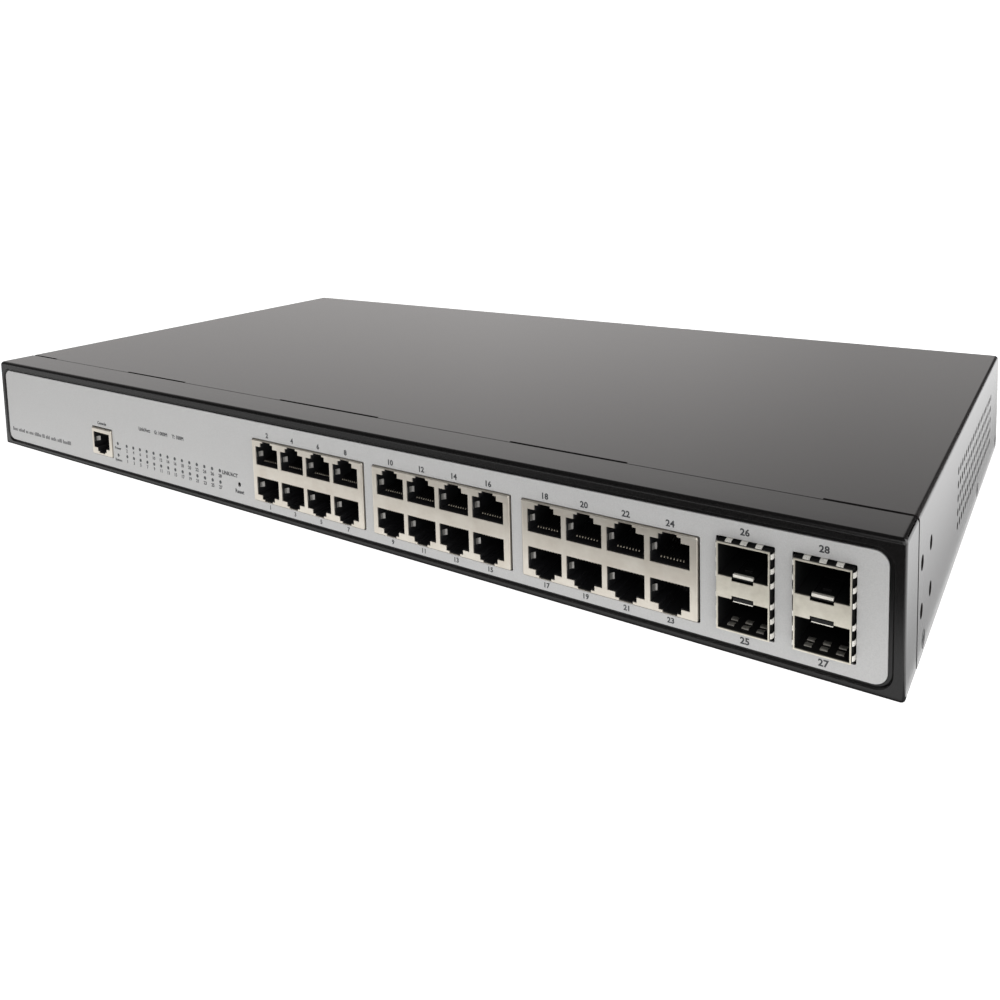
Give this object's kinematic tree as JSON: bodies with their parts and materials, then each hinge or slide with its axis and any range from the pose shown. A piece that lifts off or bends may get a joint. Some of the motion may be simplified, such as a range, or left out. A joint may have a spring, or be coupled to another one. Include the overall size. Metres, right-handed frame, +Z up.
{
  "type": "rackmount network switch",
  "caption": "Rackmount network switch, 1U: folded steel case with modular jack blocks, SFP cages, console jack, indicator lights, reset button and internal mains supply.",
  "frame": {"origin": "middle of the footprint, at the underside", "axes": "+X along the front from the console jack towards the SFP cages, +Y from the front to the back, +Z up"},
  "size_m": [0.44, 0.242, 0.044],
  "materials": {
    "charcoal_coat": "charcoal powder coat, fine texture",
    "black_coat": "black powder coat, fine texture",
    "silver_film": "satin silver with a fine grain",
    "jack_nickel": "bright nickel plate",
    "cage_steel": "tinned spring steel",
    "black_plastic": "matte moulded",
    "zinc_screw": "zinc plate",
    "black_screw": "black oxide",
    "board_green": "solder mask, satin",
    "clear_plastic": "clear moulded",
    "fin_aluminium": "extruded, satin",
    "winding_tape": "wound polyester tape",
    "capacitor_sleeve": "shrunk sleeve",
    "wire_jacket": "flexible jacket"
  },
  "bodies": {
    "chassis": {"base_tray": "charcoal_coat", "top_cover": "charcoal_coat", "front_panel": "black_coat", "front_plate": "silver_film", "cover_screw_left_1": "black_screw", "cover_screw_right_1": "black_screw", "cover_screw_rear_1": "black_screw", "port_shield_1": "jack_nickel", "port_housing_1": "black_plastic", "port_magnetics_1": "black_plastic", "cover_screw_left_2": "black_screw", "cover_screw_right_2": "black_screw", "cover_screw_rear_2": "black_screw", "port_shield_2": "jack_nickel", "port_housing_2": "black_plastic", "port_magnetics_2": "black_plastic", "cover_screw_left_3": "black_screw", "cover_screw_right_3": "black_screw", "cover_screw_rear_3": "black_screw", "port_shield_3": "jack_nickel", "port_housing_3": "black_plastic", "port_magnetics_3": "black_plastic", "console_shield": "jack_nickel", "console_housing": "black_plastic", "switch_chip": "black_plastic", "power_inlet": "black_plastic", "reset_switch": "black_plastic", "sfp_cage_1": "cage_steel", "sfp_gasket_1": "jack_nickel", "sfp_connector_1": "black_plastic", "inlet_screw_1": "zinc_screw", "sfp_cage_2": "cage_steel", "sfp_gasket_2": "jack_nickel", "sfp_connector_2": "black_plastic", "inlet_screw_2": "zinc_screw", "light_guide": "clear_plastic", "insulating_sheet": "clear_plastic", "main_board": "board_green", "power_board": "board_green", "board_screw_1": "zinc_screw", "board_screw_2": "zinc_screw", "board_screw_3": "zinc_screw", "board_screw_4": "zinc_screw", "ground_screw": "zinc_screw", "inlet_pin_line": "zinc_screw", "inlet_pin_earth": "zinc_screw", "inlet_pin_neutral": "zinc_screw", "switch_heatsink": "fin_aluminium", "power_heatsink": "fin_aluminium", "power_transformer": "winding_tape", "bulk_capacitor": "capacitor_sleeve", "dc_harness": "wire_jacket"},
    "reset_button": {"reset_plunger": "black_plastic"},
    "upper_latch_1": {"sfp_latch_upper_1": "cage_steel"},
    "lower_latch_1": {"sfp_latch_lower_1": "cage_steel"},
    "upper_latch_2": {"sfp_latch_upper_2": "cage_steel"},
    "lower_latch_2": {"sfp_latch_lower_2": "cage_steel"}
  },
  "joints": [
    {"name": "reset_press", "type": "slide", "parent": "chassis", "child": "reset_button", "axis": [0, 1, 0], "range_m": [0, 0.00035], "stiffness_N_per_m": 1500, "springref_m": -0.0004},
    {"name": "upper_latch_1_flex", "type": "hinge", "parent": "chassis", "child": "upper_latch_1", "pos_m": [0.17835, -0.1074, 0.0237], "axis": [1, 0, 0], "range_deg": [0, 5], "stiffness_Nm_per_rad": 0.3, "springref_deg": -1.72},
    {"name": "lower_latch_1_flex", "type": "hinge", "parent": "chassis", "child": "lower_latch_1", "pos_m": [0.17835, -0.1074, 0.0178], "axis": [-1, 0, 0], "range_deg": [0, 5], "stiffness_Nm_per_rad": 0.3, "springref_deg": -1.72},
    {"name": "upper_latch_2_flex", "type": "hinge", "parent": "chassis", "child": "upper_latch_2", "pos_m": [0.19975, -0.1074, 0.0237], "axis": [1, 0, 0], "range_deg": [0, 5], "stiffness_Nm_per_rad": 0.3, "springref_deg": -1.72},
    {"name": "lower_latch_2_flex", "type": "hinge", "parent": "chassis", "child": "lower_latch_2", "pos_m": [0.19975, -0.1074, 0.0178], "axis": [-1, 0, 0], "range_deg": [0, 5], "stiffness_Nm_per_rad": 0.3, "springref_deg": -1.72}
  ]
}
